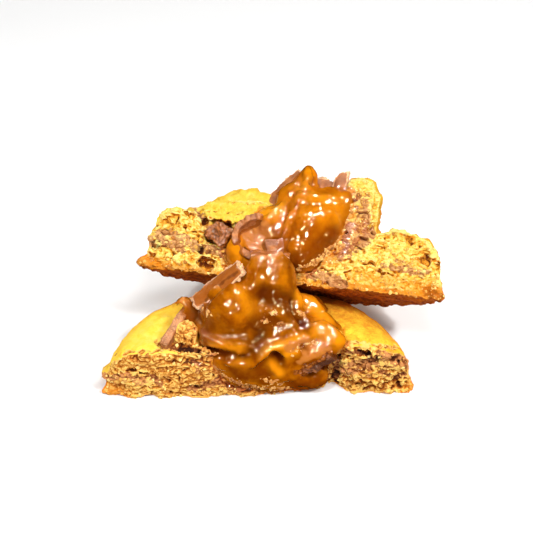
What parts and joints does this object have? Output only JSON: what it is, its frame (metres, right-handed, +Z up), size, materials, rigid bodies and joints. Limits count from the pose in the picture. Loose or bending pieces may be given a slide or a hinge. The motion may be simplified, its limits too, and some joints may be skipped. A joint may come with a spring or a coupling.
{
  "type": "caramel filled cookie torn in half",
  "caption": "Large round cookie torn in half, one half leaning on the other, with molten caramel and broken chocolate shell between them.",
  "frame": {"origin": "under the middle of the pile, on the surface that it rests on", "axes": "+X along the torn faces of both halves, -Y the way the torn faces look, +Z up"},
  "size_m": [0.1086, 0.0596, 0.0554],
  "materials": {
    "dough": "golden yellow baked crust, dry and matt, with a coarse pale crumb where it is torn and an orange-brown foot",
    "caramel": "glossy, half clear amber caramel",
    "chocolate": "satin milk chocolate, lighter along broken edges",
    "melted_chocolate": "matt milk chocolate soaked into the crumb"
  },
  "bodies": {
    "root": {"front_dough": "dough", "back_dough": "dough", "front_caramel": "caramel", "back_caramel": "caramel", "chocolate_wall_left": "chocolate", "chocolate_shell_front": "chocolate", "chocolate_block_middle": "chocolate", "chocolate_chunk_front": "chocolate", "chocolate_shell_back": "chocolate", "chocolate_flake_back": "chocolate", "chocolate_peak_back": "chocolate", "chocolate_rim_back": "chocolate", "chocolate_prong_back": "chocolate", "chocolate_chunk_back": "chocolate", "melted_chocolate_front_left": "melted_chocolate", "melted_chocolate_front_right": "melted_chocolate", "melted_chocolate_back_left": "melted_chocolate", "melted_chocolate_back_right": "melted_chocolate"}
  },
  "joints": []
}
